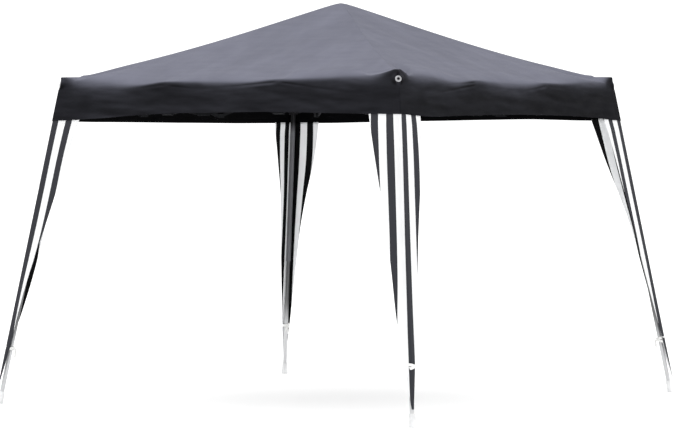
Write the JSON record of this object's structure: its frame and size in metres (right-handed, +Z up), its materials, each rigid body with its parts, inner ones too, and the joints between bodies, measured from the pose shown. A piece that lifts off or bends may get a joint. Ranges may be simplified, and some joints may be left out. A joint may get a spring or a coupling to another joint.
{
  "type": "pop-up party tent",
  "caption": "Pop-up party tent with a pyramid cover and valance on a folding frame, slanted telescopic legs and striped leg curtains.",
  "frame": {"origin": "ground level, midway between the four feet, under the peak", "axes": "+Z up, -Y out of the front side, +X out of the right side; the sides are square to X and Y"},
  "size_m": [2.992, 2.992, 2.4168],
  "materials": {
    "roof_cloth": "coated woven polyester, faded",
    "valance_cloth": "coated woven polyester",
    "striped_cloth": "woven polyester with black and white stripes",
    "leg_paint": "powder coat, satin",
    "lower_leg_paint": "powder coat, satin",
    "black_plastic": "moulded, satin",
    "foot_plastic": "moulded, satin"
  },
  "bodies": {
    "frame": {"front_right_leg_curtain": "striped_cloth", "front_right_corner_bracket": "black_plastic", "front_right_slider": "black_plastic", "front_right_upper_leg": "leg_paint", "front_right_inner_truss": "leg_paint", "back_right_leg_curtain": "striped_cloth", "back_right_corner_bracket": "black_plastic", "back_right_slider": "black_plastic", "back_right_upper_leg": "leg_paint", "back_right_inner_truss": "leg_paint", "back_left_leg_curtain": "striped_cloth", "back_left_corner_bracket": "black_plastic", "back_left_slider": "black_plastic", "back_left_upper_leg": "leg_paint", "back_left_inner_truss": "leg_paint", "front_left_leg_curtain": "striped_cloth", "front_left_corner_bracket": "black_plastic", "front_left_slider": "black_plastic", "front_left_upper_leg": "leg_paint", "front_left_inner_truss": "leg_paint", "front_roof_panel": "roof_cloth", "front_valance": "valance_cloth", "front_truss": "leg_paint", "right_roof_panel": "roof_cloth", "right_valance": "valance_cloth", "right_truss": "leg_paint", "back_roof_panel": "roof_cloth", "back_valance": "valance_cloth", "back_truss": "leg_paint", "left_roof_panel": "roof_cloth", "left_valance": "valance_cloth", "left_truss": "leg_paint", "centre_pole": "leg_paint", "upper_hub": "black_plastic", "lower_hub": "black_plastic", "pole_cap": "black_plastic"},
    "front_right_sliding_leg": {"front_right_lower_leg": "lower_leg_paint", "front_right_foot": "foot_plastic"},
    "back_right_sliding_leg": {"back_right_lower_leg": "lower_leg_paint", "back_right_foot": "foot_plastic"},
    "back_left_sliding_leg": {"back_left_lower_leg": "lower_leg_paint", "back_left_foot": "foot_plastic"},
    "front_left_sliding_leg": {"front_left_lower_leg": "lower_leg_paint", "front_left_foot": "foot_plastic"}
  },
  "joints": [
    {"name": "front_right_leg_slide", "type": "slide", "parent": "frame", "child": "front_right_sliding_leg", "axis": [-0.1458, 0.1458, 0.9785], "range_m": [0, 0.7], "deforming": ["front_right_leg_curtain"]},
    {"name": "back_right_leg_slide", "type": "slide", "parent": "frame", "child": "back_right_sliding_leg", "axis": [-0.1458, -0.1458, 0.9785], "range_m": [0, 0.7], "deforming": ["back_right_leg_curtain"]},
    {"name": "back_left_leg_slide", "type": "slide", "parent": "frame", "child": "back_left_sliding_leg", "axis": [0.1458, -0.1458, 0.9785], "range_m": [0, 0.7], "deforming": ["back_left_leg_curtain"]},
    {"name": "front_left_leg_slide", "type": "slide", "parent": "frame", "child": "front_left_sliding_leg", "axis": [0.1458, 0.1458, 0.9785], "range_m": [0, 0.7], "deforming": ["front_left_leg_curtain"]}
  ]
}
